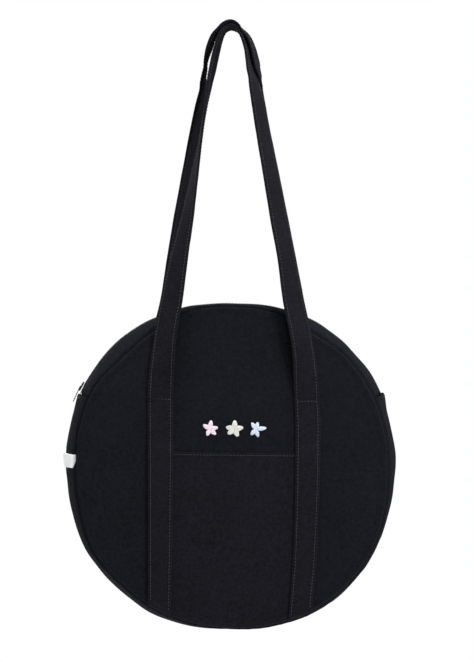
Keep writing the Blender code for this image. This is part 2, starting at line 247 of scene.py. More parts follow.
# Petals of each flower: direction in degrees from the right, length in millimetres
FLOWERS = [
    {
        "name": "pink",
        "shift": (-0.0004, -0.0006),
        "petals": [(80, 9.6), (148, 8.7), (10, 9.2), (247, 8.2), (317, 9.2)],
        "half_width": 2.6,
        "thread": (0.86, 0.74, 0.84),
        "heart": (0.88, 0.70, 0.60),
    },
    {
        "name": "cream",
        "shift": (0.0006, -0.0007),
        "petals": [(87, 9.4), (168, 9.6), (9, 9.9), (218, 9.3), (296, 9.2)],
        "half_width": 3.1,
        "thread": (0.74, 0.75, 0.70),
        "heart": (0.76, 0.60, 0.56),
    },
    {
        "name": "blue",
        "shift": (-0.0021, -0.0010),
        "petals": [(122, 8.4), (70, 8.0), (6, 12.0), (231, 8.4), (288, 9.2)],
        "half_width": 2.4,
        "thread": (0.66, 0.74, 0.87),
        "heart": (0.62, 0.72, 0.92),
    },
]


def mix(start, end, share):
    return start + (end - start) * share


def ease(share):
    held = min(1.0, max(0.0, share))
    return held * held * (3 - 2 * held)


def bell(distance, width):
    return math.exp(-((distance / width) ** 2))


def curve_through(values, place):
    index = min(int(place), len(values) - 3)
    share = place - index
    before, start, end, after = values[index - 1 : index + 3]
    return start + 0.5 * share * (
        end
        - before
        + share * (2 * before - 5 * start + 4 * end - after + share * (3 * (start - end) + after - before))
    )


def outline(column, angle):
    values = [row[OUTLINE_COLUMNS.index(column)] for row in OUTLINE]
    wrapped = values[-1:] + values + values[:2]
    return curve_through(wrapped, math.degrees(angle) % 360 / 360 * len(values) + 1)


def rim(side, angle):
    return PANEL_RADIUS * (outline("rim", angle) if side == FRONT else BACK_RIM_SHARE)


def half_depth(z):
    share = (z - BAG_CENTRE + PANEL_RADIUS) / (2 * PANEL_RADIUS)
    return mix(DEPTH_BOTTOM, DEPTH_TOP, share) / 2


def slack(side, x, z):
    """How far a panel's cloth stands out from its smooth shape, in soft waves and puckers."""
    up = z - BAG_CENTRE
    angle = math.atan2(x, up)
    from_rim = rim(side, angle) - math.hypot(x, up)
    broad = noise.noise(Vector((x * 12, z * 7, side * 3.1)))
    middle = noise.noise(Vector((x * 31, z * 22, side * 5.7)))
    pucker = noise.noise(Vector((math.sin(angle) * 17, math.cos(angle) * 17, side * 2.3)))
    away = ease(from_rim / 0.03)
    ridge = 0.0008 * bell(from_rim - 0.0032, 0.0024) - 0.0005 * bell(from_rim - 0.0085, 0.003)
    puckers = 0.0007 * pucker * (1 - away) * ease(from_rim / 0.005)
    return away * (0.0007 * broad + 0.00022 * middle) + puckers + ridge


def panel_point(side, x, z, outwards=0.0):
    angle = math.atan2(x, z - BAG_CENTRE)
    share = math.hypot(x, z - BAG_CENTRE) / rim(side, angle)
    depth = half_depth(z) + PANEL_BULGE * (1 - share**2) + outwards
    return Vector((x, side * depth, z))


def face_point(side, x, z, outwards=0.0):
    """A point of a panel's outer face with the cloth's waves."""
    return panel_point(side, x, z, outwards + slack(side, x, z))


def rim_bottom(side, x, margin):
    angle = math.pi
    for _ in range(20):
        radius = rim(side, angle) - margin
        angle = math.pi - math.asin(x / radius)
    return BAG_CENTRE + radius * math.cos(angle)


def side_strip_point(angle, across, outwards=0.0):
    rims = [rim(FRONT, angle), rim(BACK, angle)]
    crown = PANEL_RADIUS * outline("crown", angle)
    edge = mix(rims[0], rims[1], (across + 1) / 2)
    radius = edge + (crown - sum(rims) / 2) * (1 - across**2) + outwards
    x = radius * math.sin(angle)
    z = BAG_CENTRE + radius * math.cos(angle)
    return Vector((x, across * strip_reach(angle), z))


def strip_reach(angle):
    """Half of the side strip's width, at an angle."""
    return half_depth(BAG_CENTRE + PANEL_RADIUS * math.cos(angle)) - CANVAS - SEAM_GAP


def label_middle():
    return 2 * math.pi - math.acos(LABEL_RISE / PANEL_RADIUS)


def strip_slack(angle, across):
    """The side strip's soft waves, with puckers towards its seams."""
    turn = (math.sin(angle), math.cos(angle))
    broad = noise.noise(Vector((turn[0] * 6, turn[1] * 6, across * 0.8)))
    pucker = noise.noise(Vector((turn[0] * 19, turn[1] * 19, 4 * across)))
    near = ease((abs(across) - 0.45) / 0.3) * (1 - ease((abs(across) - 0.86) / 0.14))
    from_label = (angle % (2 * math.pi) - label_middle()) * PANEL_RADIUS
    held = 1 - 0.95 * math.exp(-((from_label / 0.013) ** 4))
    return held * (0.0010 * broad * (1 - across**4) + 0.0008 * pucker * near)


def spread_values(start, end, count):
    return [mix(start, end, i / count) for i in range(count + 1)]


def add_mesh(name, points, faces, looks, uvs=None, weld=False):
    """An object of the bag, made of points and faces, riding on its body."""
    data = bpy.data.meshes.new(name)
    data.from_pydata(points, [], faces)
    if uvs:
        layer = data.uv_layers.new(name="cloth")
        for loop, place in zip(data.loops, layer.data):
            place.uv = uvs[loop.vertex_index]
    if weld:
        joined = bmesh.new()
        joined.from_mesh(data)
        bmesh.ops.remove_doubles(joined, verts=joined.verts, dist=WELD)
        joined.to_mesh(data)
        joined.free()
    for look in looks:
        data.materials.append(look)
    data.shade_smooth()
    made = bpy.data.objects.new(name, data)
    bpy.context.scene.collection.objects.link(made)
    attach(made, "root")
    return made


def grid(rows):
    """Points and faces of a grid laid through rows of points."""
    width = len(rows[0])
    faces = []
    for line in range(len(rows) - 1):
        for column in range(width - 1):
            a = line * width + column
            faces.append((a, a + 1, a + width + 1, a + width))
    return [point for row in rows for point in row], faces


def cloth(name, rows, maps, thickness, offset, look, weld=False):
    """A sheet through rows of points, thickened to a wall of cloth."""
    points, faces = grid(rows)
    uvs = [place for row in maps for place in row]
    made = add_mesh(name, points, faces, [look], uvs, weld)
    wall = made.modifiers.new("Wall", "SOLIDIFY")
    wall.thickness = thickness
    wall.offset = offset
    wall.use_even_offset = False
    return made


def add_tube(shape, path, radii, up, sides=5):
    """Adds a thread along a path to a shape, a pair of points and faces. Up is the way that it stands out."""
    points, faces = shape
    first = len(points)
    last = len(path) - 1
    for i, (middle, radius) in enumerate(zip(path, radii)):
        ahead = (path[min(i + 1, last)] - path[max(i - 1, 0)]).normalized()
        sideways = ahead.cross(up).normalized()
        upright = sideways.cross(ahead)
        for k in range(sides):
            turn = 2 * math.pi * k / sides
            points.append(middle + (sideways * math.cos(turn) + upright * math.sin(turn)) * radius)
    for i in range(last):
        for k in range(sides):
            a = first + i * sides + k
            b = first + i * sides + (k + 1) % sides
            faces.append((a, a + sides, b + sides, b))
    faces.append([first + k for k in range(sides)])
    faces.append([first + last * sides + k for k in reversed(range(sides))])


def add_stitches(shape, line, pitch=STITCH_PITCH, radius=STITCH_RADIUS):
    """Adds sewn stitches along a line of (point, normal) pairs to a shape."""
    lengths = [0.0]
    for (before, _), (after, _) in zip(line, line[1:]):
        lengths.append(lengths[-1] + (after - before).length)
    count = int(lengths[-1] / pitch)
    start = (lengths[-1] - count * pitch) / 2 + pitch / 2

    def at(length):
        length = min(max(length, 0), lengths[-1])
        low, high = 0, len(lengths) - 2
        while low < high:
            index = (low + high + 1) // 2
            if lengths[index] <= length:
                low = index
            else:
                high = index - 1
        share = (length - lengths[low]) / max(lengths[low + 1] - lengths[low], 1e-9)
        return [mix(line[low][i], line[low + 1][i], share) for i in range(2)]

    for i in range(count):
        middle = start + i * pitch
        jitter = noise.noise(Vector((middle * 900, lengths[-1] * 100, 0.5)))
        path = []
        for share, lift in STITCH_PATH:
            point, up = at(middle + share * STITCH_LENGTH * (1 + 0.06 * jitter))
            path.append(point + up * lift * radius)
        up = at(middle)[1]
        sideways = (path[-1] - path[0]).cross(up).normalized() * radius * (0.32 + 0.25 * jitter)
        path[0] += sideways
        path[-1] -= sideways
        radii = [radius * share for share in STITCH_SWELL]
        add_tube(shape, path, radii, up)


def surface_line(place, values):
    """A line of (point, normal) pairs on a surface; place gives a point for a value and a sidestep."""
    line = []
    step = (values[-1] - values[0]) / len(values) * 0.2
    for value in values:
        point = place(value, 0)
        along = place(value + step, 0) - point
        aside = place(value, SIDESTEP) - point
        line.append((point, along.cross(aside).normalized()))
    return line


# Materials


def new_look(name, **settings):
    """A material, with its shader and a shortcut for adding nodes."""
    look = bpy.data.materials.new(name)
    look.use_nodes = True
    tree = look.node_tree
    shader = tree.nodes["Principled BSDF"]
    for key, value in settings.items():
        shader.inputs[key.replace("_", " ")].default_value = value

    def add(kind, inputs=None, **options):
        made = tree.nodes.new("ShaderNode" + kind)
        for key, value in options.items():
            setattr(made, key, value)
        for key, value in (inputs or {}).items():
            if isinstance(value, bpy.types.NodeSocket):
                tree.links.new(value, made.inputs[key])
            else:
                made.inputs[key].default_value = value
        return made

    return look, tree, shader, add


def calculator(add):
    """A shortcut for math nodes."""

    def calculate(operation, *values):
        made = add("Math", dict(enumerate(values)), operation=operation)
        return made.outputs[0]

    return calculate


def remap(add, value, low, high, new_low, new_high):
    inputs = {"Value": value, "From Min": low, "From Max": high, "To Min": new_low, "To Max": new_high}
    return add("MapRange", inputs).outputs[0]


def cloth_map(add):
    return add("SeparateXYZ", {0: add("UVMap", uv_map="cloth").outputs[0]}).outputs


def speckle(add, scale, detail=2.0):
    """Noise in an object's space."""
    where = add("TexCoord").outputs["Object"]
    return add("TexNoise", {"Vector": where, "Scale": scale, "Detail": detail}).outputs[0]


def dress(tree, shader, add, colour, tone, bumps=None, strength=0.0, distance=0.0):
    """Colours a look by a tone, and raises it by bumps."""
    tinted = add("VectorMath", {0: colour, "Scale": tone}, operation="SCALE")
    tree.links.new(tinted.outputs[0], shader.inputs["Base Color"])
    if bumps is not None:
        bump = add("Bump", {"Height": bumps, "Strength": strength, "Distance": distance})
        tree.links.new(bump.outputs[0], shader.inputs["Normal"])


def canvas_look(name, colour):
    """Plain woven canvas with its threads, slubs and a little lint; shade is painted into the gaps between the
    threads.
    """
    look, tree, shader, add = new_look(
        name, Roughness=0.9, Sheen_Weight=0.01, Sheen_Roughness=0.5, Specular_IOR_Level=0.05
    )
    calc = calculator(add)
    places = cloth_map(add)
    u = calc("MULTIPLY", places[0], 1 / THREAD_PITCH)
    v = calc("MULTIPLY", places[1], 1 / THREAD_PITCH)
    wave_u = calc("SINE", calc("MULTIPLY", u, math.pi))
    wave_v = calc("SINE", calc("MULTIPLY", v, math.pi))
    cell = calc("MULTIPLY", wave_u, wave_v)
    height = calc("POWER", calc("ABSOLUTE", cell), 0.6)
    warp_on_top = calc("GREATER_THAN", cell, 0.0)
    threads = []
    for index, (across, along) in enumerate(((u, v), (v, u))):
        spot = add("CombineXYZ", {0: calc("FLOOR", across), 1: calc("MULTIPLY", along, 0.03), 2: 7.0 * index})
        threads.append(add("TexNoise", {"Vector": spot.outputs[0], "Scale": 0.77, "Detail": 1.0}).outputs[0])
    tone = add("Mix", {0: warp_on_top, 2: threads[1], 3: threads[0]}).outputs[0]
    broad = speckle(add, 21.0, 3.0)
    lint = speckle(add, 1500.0, 0.0)
    speck = calc("MULTIPLY", calc("GREATER_THAN", lint, 0.80), 0.9)
    mottle = speckle(add, 330.0)
    shade = calc("ADD", calc("MULTIPLY", tone, 0.9), calc("MULTIPLY", broad, 0.5))
    shade = calc("ADD", shade, calc("MULTIPLY", mottle, 2.0))
    # Painted shade: the weave's height also lightens the colour, so each thread's crown is lighter and the gaps
    # between threads are darker.
    shade = calc("ADD", shade, calc("MULTIPLY", height, 0.45))
    shade = calc("ADD", shade, speck)
    ramp = remap(add, shade, 1.3, 2.7, 0.5, 1.5)
    bumps = calc("ADD", height, calc("MULTIPLY", tone, 0.5))
    dress(tree, shader, add, colour, ramp, bumps, 0.55, 0.00016)
    return look


def thread_look(name, colour, roughness=0.5, shine=0.35, twist=2600.0):
    """Spun thread with a faint twist."""
    look, tree, shader, add = new_look(name, Roughness=roughness, Sheen_Weight=0.1, Specular_IOR_Level=shine)
    fibre = speckle(add, twist)
    ramp = remap(add, fibre, 0.3, 0.7, 0.8, 1.15)
    dress(tree, shader, add, colour, ramp, fibre, 0.3, 0.00008)
    return look


CANVAS_LOOK = canvas_look("black_canvas", (0.0078, 0.0084, 0.0116))
POCKET_LOOK = canvas_look("black_pocket_canvas", (0.0094, 0.0091, 0.0128))
STRAP_LOOK = canvas_look("black_strap_canvas", (0.0094, 0.0091, 0.0127))
# The black thread's base colour is set about three times lighter than the canvas's. This is painted sheen, added to
# the shader's own sheen and gloss, so the stitches read as light dots.
THREAD_LOOK = thread_look("black_thread", (0.026, 0.026, 0.031))


def label_look():
    look, tree, shader, add = new_look("white_label", Roughness=0.6, Sheen_Weight=0.1)
    calc = calculator(add)
    places = cloth_map(add)
    ribs = calc("SINE", calc("MULTIPLY", places[1], 2 * math.pi / 0.00035))
    ends = calc("SINE", calc("MULTIPLY", places[0], 2 * math.pi / 0.0003))
    weave = calc("ADD", calc("MULTIPLY", ribs, 0.6), calc("MULTIPLY", ends, 0.4))
    # Painted shade: the tone follows the weave's height, darker in the furrows between the ribs.
    ramp = remap(add, weave, -1.0, 1.0, 0.9, 1.0)
    dress(tree, shader, add, (0.93, 0.94, 0.94), ramp, weave, 0.3, 0.00005)
    return look


def tape_look():
    """The zip's tape, a fine herringbone, with shade painted into the furrows of its twill."""
    look, tree, shader, add = new_look("zip_tape", Roughness=0.8, Sheen_Weight=0.01, Specular_IOR_Level=0.1)
    calc = calculator(add)
    places = cloth_map(add)
    slope = calc("PINGPONG", places[1], 0.0018)
    stripes = calc("SINE", calc("MULTIPLY", calc("ADD", places[0], slope), 2 * math.pi / 0.0007))
    # Painted shade: the tone follows the stripes' height, darker in the twill's furrows.
    ramp = remap(add, stripes, -1.0, 1.0, 0.7, 1.3)
    dress(tree, shader, add, (0.007, 0.0072, 0.0085), ramp, stripes, 0.5, 0.0001)
    return look


def coil_look():
    look, tree, shader, add = new_look("zip_coil", Roughness=0.38)
    worn = speckle(add, 300.0, 3.0)
    ramp = remap(add, worn, 0.3, 0.7, 0.3, 0.5)
    tree.links.new(ramp, shader.inputs["Roughness"])
    dress(tree, shader, add, (0.016, 0.016, 0.018), worn)
    return look


def metal_look():
    """Painted metal with faint scuffs."""
    look, tree, shader, add = new_look("slider_metal", Metallic=0.3, Roughness=0.45)
    scuffs = speckle(add, 420.0, 4.0)
    ramp = remap(add, scuffs, 0.3, 0.7, 0.26, 0.46)
    tree.links.new(ramp, shader.inputs["Roughness"])
    tone = remap(add, scuffs, 0.3, 0.7, 0.8, 1.3)
    dress(tree, shader, add, (0.016, 0.016, 0.018), tone, scuffs, 0.08, 0.0001)
    return look


# The panels


def build_panels():
    turns, rings = 240, 42
    rolls = [math.radians(turn) for turn in (0, 20, 40, 60, 78, 92)]
    for side, name in ((FRONT, "front_panel"), (BACK, "back_panel")):
        rows = []
        maps = []
        steps = [(share, 0.0, 0.0) for share in spread_values(0, 1, rings)]
        steps += [(1.0, math.sin(roll), 1 - math.cos(roll)) for roll in rolls[1:]]
        for share, along, drop in steps:
            row = []
            places = []
            for angle in spread_values(0, 2 * math.pi, turns):
                radius = (rim(side, angle) - SEAM_INSET - SEAM_ROLL) * share + SEAM_ROLL * along
                x = radius * math.sin(angle)
                z = BAG_CENTRE + radius * math.cos(angle)
                row.append(face_point(side, x, z, -SEAM_ROLL * drop))
                places.append((x, z))
            rows.append(row)
            maps.append(places)
        made = cloth(name + "_canvas", rows, maps, CANVAS, side, CANVAS_LOOK, weld=True)
        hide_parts(name)


# The side strip and the zip


def lap_lift(angle):
    from_right = (angle - ZIP_HALF_ANGLE) * PANEL_RADIUS
    from_left = (2 * math.pi - ZIP_HALF_ANGLE - angle) * PANEL_RADIUS
    right = LAP_LIFT * (1 - ease(from_right / LAP_LENGTH))
    left = LAP_LIFT / 2 * (1 - ease(from_left / LAP_LENGTH))
    return right + left


def strip_place(angle, y, outwards=0.0):
    """A point of the side strip with its waves, with y its distance from the strip's middle."""
    across = y / strip_reach(angle)
    rise = ease((strip_reach(angle) - abs(y) - SEAM_CREASE) / SEAM_CREASE_EDGE)
    swell = STRIP_SWELL * rise * across**2 - SEAM_CREASE_DEPTH * (1 - rise)
    return side_strip_point(angle, across, outwards + strip_slack(angle, across) + swell)


def lower_strip_place(angle, y, outwards=0.0):
    across = y / strip_reach(angle)
    return strip_place(angle, y, outwards + lap_lift(angle) * (1 - across**2))


def rolled(start, end, count, roll, roll_start, roll_end):
    """Places from start to end and how far each sinks, with a rolled edge at either end."""
    turns = [math.radians(turn) for turn in (88, 66, 44, 22)]
    first = start + roll if roll_start else start
    last = end - roll if roll_end else end
    places = []
    if roll_start:
        places += [(first - roll * math.sin(turn), roll * (1 - math.cos(turn))) for turn in turns]
    places += [(value, 0.0) for value in spread_values(first, last, count)]
    if roll_end:
        places += [(last + roll * math.sin(turn), roll * (1 - math.cos(turn))) for turn in reversed(turns)]
    return places


def build_side_strip():
    gap = SEAM_GAP / PANEL_RADIUS / 2
    start = ZIP_HALF_ANGLE + gap
    end = 2 * math.pi - ZIP_HALF_ANGLE - gap
    rows = []
    maps = []
    for turn, sink in rolled(start * PANEL_RADIUS, end * PANEL_RADIUS, 300, STRIP_END_ROLL, True, True):
        angle = turn / PANEL_RADIUS
        reach = strip_reach(angle)
        row = []
        places = []
        near = [reach - step for step in SEAM_STEPS]
        inner = spread_values(-near[-1], near[-1], 26)[1:-1]
        for y in [-y for y in near] + inner + near[::-1]:
            row.append(lower_strip_place(angle, y, -sink))
            places.append((turn, y))
        rows.append(row)
        maps.append(places)
    made = cloth("side_strip_canvas", rows, maps, CANVAS, 1, CANVAS_LOOK)
    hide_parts("side_strip")
    shape = ([], [])
    for edge, sign in ((ZIP_HALF_ANGLE, 1), (2 * math.pi - ZIP_HALF_ANGLE, -1)):
        angle = edge + sign * (gap + STRIP_STITCH_INSET / PANEL_RADIUS)
        reach = strip_reach(angle) - STRIP_STITCH_MARGIN
        line = surface_line(
            lambda y, aside: lower_strip_place(angle - aside / PANEL_RADIUS, y), spread_values(-reach, reach, 40)
        )
        add_stitches(shape, line)
    made = add_mesh("side_strip_stitches", *shape, [THREAD_LOOK])


def zip_end_sink(angle):
    """How far the zip's parts sink under the side strip's ends."""
    past = abs(angle) - ZIP_HALF_ANGLE + ZIP_SINK_START / PANEL_RADIUS
    return ease(past / ZIP_END_TUCK * 1.5) * ZIP_END_SINK


def build_zip_strips():
    angles = spread_values(-ZIP_HALF_ANGLE - ZIP_END_TUCK, ZIP_HALF_ANGLE + ZIP_END_TUCK, 200)
    shape = ([], [])
    for side, name in ((FRONT, "zip_strip_front"), (BACK, "zip_strip_back")):
        rows = []
        maps = []
        for angle in angles:
            under = zip_end_sink(angle)
            reach = strip_reach(angle)
            row = []
            places = []
            inner = rolled(ZIP_SLOT / 2, reach - SEAM_STEPS[-1], 9, FOLD_ROLL, True, False)
            outer = [(reach - step, 0.0) for step in SEAM_STEPS[-2::-1]]
            for y, drop in inner + outer:
                row.append(strip_place(angle, side * y, -drop - under))
                places.append((angle * PANEL_RADIUS, y))
            rows.append(row)
            maps.append(places)
        made = cloth(name + "_canvas", rows, maps, CANVAS, side, CANVAS_LOOK)
        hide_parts(name)
        line = surface_line(
            lambda angle, aside: strip_place(angle, side * (ZIP_SLOT / 2 + ZIP_STITCH_INSET - side * aside)),
            spread_values(-ZIP_HALF_ANGLE + ZIP_STITCH_END, ZIP_HALF_ANGLE - ZIP_STITCH_END, 200),
        )
        add_stitches(shape, line)
    made = add_mesh("zip_strip_stitches", *shape, [THREAD_LOOK])


def build_zip():
    tape_face = -(CANVAS + ZIP_TAPE_GAP)
    angles = spread_values(-ZIP_HALF_ANGLE - ZIP_END_TUCK, ZIP_HALF_ANGLE + ZIP_END_TUCK, 160)
    look = tape_look()
    for side, name in ((FRONT, "zip_tape_front"), (BACK, "zip_tape_back")):
        rows = []
        maps = []
        for angle in angles:
            under = zip_end_sink(angle)
            row = []
            places = []
            for y in spread_values(ZIP_SLIT / 40, ZIP_TAPE_WIDTH / 2, 8):
                row.append(strip_place(angle, side * y, tape_face - under))
                places.append((angle * PANEL_RADIUS, y))
            rows.append(row)
            maps.append(places)
        made = cloth(name + "_weave", rows, maps, ZIP_TAPE, side, look)
        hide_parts(name)
    shape = ([], [])
    length = 2 * ZIP_HALF_ANGLE * PANEL_RADIUS * 1.04
    count = int(length / COIL_PITCH)
    for i in range(count):
        angle = mix(-ZIP_HALF_ANGLE, ZIP_HALF_ANGLE, (i + 0.5) / count)
        up = Vector((math.sin(angle), 0, math.cos(angle)))
        hand = 1 if i % 2 else -1
        path = []
        for across, lift in COIL_PATH:
            base = strip_place(angle, hand * across * ZIP_COIL_WIDTH / 2, tape_face + LAYER_GAP)
            path.append(base + up * lift * ZIP_COIL * 0.8)
        add_tube(shape, path, COIL_RADII, up, sides=6)
    for side in (FRONT, BACK):
        line = surface_line(
            lambda angle, aside: strip_place(
                angle, side * ZIP_COIL_WIDTH * 0.36 - aside, tape_face + LAYER_GAP + ZIP_COIL * 0.92
            ),
            spread_values(-ZIP_HALF_ANGLE + ZIP_STITCH_END, ZIP_HALF_ANGLE - ZIP_STITCH_END, 200),
        )
        add_stitches(shape, line, pitch=COIL_STITCH_PITCH)
    made = add_mesh("zip_coil_teeth", *shape, [coil_look()])
    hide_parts("zip_coil")


# The handles


def strap_panel_offset(side, z):
    offset = LAYER_GAP + STRAP_THICKNESS / 2
    if side == FRONT:
        top = BAG_CENTRE + POCKET_TOP + POCKET_RAMP
        offset += (POCKET_CLOTH + LAYER_GAP) * ease((top - z) / (POCKET_RAMP - POCKET_EDGE))
    return offset


def strap_lean(leg, share):
    if leg == LEFT:
        return LEFT_LEAN * share**2
    return RIGHT_LEAN * share**2 - RIGHT_BOW * ease(share / 0.12) * (1 - ease((share - 0.75) / 0.25))


def sewn_row(side, leg, share, tuck=0.0):
    """The two edges of a strap on its panel, with share 0 at the sewing line and 1 at the bottom seam.

    The strap's end goes into that seam, as far as tuck, from 0 to 1, says.
    """
    sewing_line = BAG_CENTRE + SEW_HEIGHT
    row = []
    for across in (-0.5, 0.5):
        x = leg * (STRAP_SPACING / 2 + across * STRAP_WIDTH)
        if side == FRONT:
            x -= strap_lean(leg, share)
        margin = STRAP_END_MARGIN - STRAP_TUCK * math.sin(math.pi / 2 * tuck)
        z = mix(sewing_line, rim_bottom(side, x, margin), share)
        sink = STRAP_TUCK_SINK * (1 - math.cos(math.pi / 2 * tuck))
        row.append(face_point(side, x, z, strap_panel_offset(side, z) - sink))
    return row


def along_handle(place, left, right):
    """A value at a place along a handle, from values at HANDLE's heights up the left leg and up the right leg."""
    whole = left + right[-2::-1]
    padded = [2 * whole[0] - whole[1]] + whole + [2 * whole[-1] - whole[-2]]
    return curve_through(padded, 1 + (place + 1) * (len(left) - 1))


def handle_line(side, place):
    values = {}
    for name in HANDLE_COLUMNS:
        column = HANDLE_COLUMNS.index(name)
        halves = [row[column] for row in HANDLE]
        values[name] = along_handle(place, [-value for value in halves] if name == "spread" else halves, halves)
    twist, shift = [
        along_handle(place, *([row[column][leg] for row in STRAP_HANG[side]] for leg in (0, 1))) for column in (0, 1)
    ]
    foot = panel_point(side, STRAP_SPACING / 2, BAG_CENTRE + SEW_HEIGHT, LAYER_GAP + STRAP_THICKNESS / 2)
    middle = Vector(
        (
            values["spread"] * STRAP_SPACING / 2 + shift * MILLIMETRE,
            values["depth"] * foot.y,
            -HANDLE_DROP + values["height"] * (HANDLE_DROP + STRAP_THICKNESS / 2),
        )
    )
    stack = values["stack"] * STRAP_STACK if side == BACK else 0.0
    return middle, math.radians(twist), stack


def free_row(side, place):
    middle, twist, stack = handle_line(side, place)
    along = (handle_line(side, min(1, place + PROBE))[0] - handle_line(side, max(-1, place - PROBE))[0]).normalized()
    depthwise = (Vector((0, 1, 0)) - along * along.y).normalized()
    outwards = along.cross(depthwise)
    across = outwards * math.cos(twist) - side * depthwise * math.sin(twist)
    return [middle + outwards * stack + across * share * STRAP_WIDTH for share in (-0.5, 0.5)]


def strap_sections(side):
    """Sections along a handle, half a stitch apart: middle, way across, way out, length so far and free share."""
    sewn = spread_values(0, 1, 70)
    tucks = [0.2, 0.4, 0.6, 0.8, 1.0]
    rows = [(sewn_row(side, LEFT, 1, tuck), 0) for tuck in reversed(tucks)]
    rows += [(sewn_row(side, LEFT, share), 0) for share in reversed(sewn)]
    rows += [(free_row(side, place), 1) for place in spread_values(-1, 1, 420)[1:-1]]
    rows += [(sewn_row(side, RIGHT, share), 0) for share in sewn]
    rows += [(sewn_row(side, RIGHT, 1, tuck), 0) for tuck in tucks]
    middles = [(row[0] + row[1]) / 2 for row, _ in rows]
    lengths = [0.0]
    for before, after in zip(middles, middles[1:]):
        lengths.append(lengths[-1] + (after - before).length)
    count = int(lengths[-1] / STITCH_PITCH) * 2
    sections = []
    index = 0
    for i in range(count + 1):
        length = lengths[-1] * i / count
        while index < len(lengths) - 2 and lengths[index + 1] < length:
            index += 1
        share = (length - lengths[index]) / max(lengths[index + 1] - lengths[index], 1e-9)
        middle = mix(middles[index], middles[index + 1], share)
        edges = [mix(rows[index][0][k], rows[index + 1][0][k], share) for k in range(2)]
        free = rows[index][1]
        before = middles[max(index - 2, 0)]
        after = middles[min(index + 3, len(middles) - 1)]
        across = (edges[1] - edges[0]).normalized()
        outwards = side * across.cross(after - before).normalized()
        sections.append((middle, across, outwards, length, free))
    return sections


# Places across half a strap, as shares of its width
STRAP_PROFILE = [0.0, 0.12, 0.24, 0.32, 0.37, 0.405, 0.43, 0.453, 0.474, 0.488, 0.497, 0.5]


def strap_half_thickness(share, stitched):
    """Half the strap's thickness at a share of its width; stitched is 1 at a needle hole."""
    distance = abs(share)
    bend = 0.07
    edge = 1.0
    if distance > 0.5 - bend:
        edge = math.sqrt(max(0.0, 1 - ((distance - 0.5 + bend) / bend) ** 2))
    row = 0.5 - STRAP_STITCH_INSET / STRAP_WIDTH
    dip = bell(distance - row, 0.028)
    crown = 1 - 0.10 * (distance / 0.5) ** 2
    return STRAP_THICKNESS / 2 * edge * crown * (1 - dip * mix(*NEEDLE_DIPS, stitched))


def build_handles():
    shares = [-share for share in reversed(STRAP_PROFILE[1:])] + STRAP_PROFILE
    loop = [(share, 1) for share in shares] + [(share, -1) for share in reversed(shares[1:-1])]
    row_place = 0.5 - STRAP_STITCH_INSET / STRAP_WIDTH
    for side, name in ((FRONT, "front_handle"), (BACK, "back_handle")):
        points = []
        uvs = []
        faces = []
        sections = strap_sections(side)
        for i, (middle, across, outwards, length, free) in enumerate(sections):
            wide = STRAP_WIDTH * (1 + 0.018 * noise.noise(Vector((length * 45, side * 3.0, 0.2))))
            thin = 1 - 0.45 * (1 - ease(min(length, sections[-1][3] - length) / 0.009))
            for share, face in loop:
                thick = strap_half_thickness(share, i % 2) * thin
                ripple = 0.00018 * noise.noise(Vector((length * 60, share * 5, side + face)))
                points.append(middle + across * share * wide + outwards * (face * thick + ripple * free))
                uvs.append((share * wide, length))
        size = len(loop)
        for i in range(len(sections) - 1):
            for k in range(size):
                a = i * size + k
                b = i * size + (k + 1) % size
                faces.append((a, b, b + size, a + size) if side == BACK else (a, a + size, b + size, b))
        ends = [list(range(size)), [len(points) - size + k for k in range(size)]]
        faces += [ends[0][::-1], ends[1]] if side == BACK else [ends[0], ends[1][::-1]]
        made = add_mesh(name + "_strap", points, faces, [STRAP_LOOK], uvs)
        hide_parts(name)
        shape = ([], [])
        for edge in (-1, 1):
            for face in (1, -1):
                run = sections[4:-4] if face == 1 else [section for section in sections if section[4]]
                line = []
                for middle, across, outwards, _, _ in run:
                    lift = strap_half_thickness(row_place, 0) - STITCH_RADIUS * 0.1
                    spot = middle + across * edge * row_place * STRAP_WIDTH + outwards * face * lift
                    line.append((spot, outwards * face))
                add_stitches(shape, line)
        sewing_line = BAG_CENTRE + SEW_HEIGHT
        for leg in (LEFT, RIGHT):
            middle = leg * STRAP_SPACING / 2
            reach = row_place * STRAP_WIDTH
            slope, lift = (0.05, 0.001) if leg == LEFT else (0.0, -0.002)
            line = [
                (
                    face_point(side, middle + x, sewing_line + lift - slope * x, LAYER_GAP + STRAP_THICKNESS * 0.97),
                    Vector((0, side, 0)),
                )
                for x in spread_values(-reach, reach, 12)
            ]
            add_stitches(shape, line)
        stitches = add_mesh(name + "_stitches", *shape, [THREAD_LOOK])


# The pocket, the label and the flowers


def pocket_lift(x, z):
    """How far the pocket's mouth stands off the panel."""
    from_top = BAG_CENTRE + POCKET_TOP - z
    from_middle = abs(x) / (STRAP_SPACING / 2 - STRAP_WIDTH / 2)
    open_share = 0.0004 * (1 - ease(from_top / 0.045)) * (1 - ease(from_middle))
    wave = 0.0004 * noise.noise(Vector((x * 38, z * 30, 9.0))) * (1 - ease(from_middle - 0.1))
    return open_share + max(wave, 0)


def pocket_mouth(x):
    return BAG_CENTRE + POCKET_TOP + 0.0008 - 0.0013 * x / (STRAP_SPACING / 2)


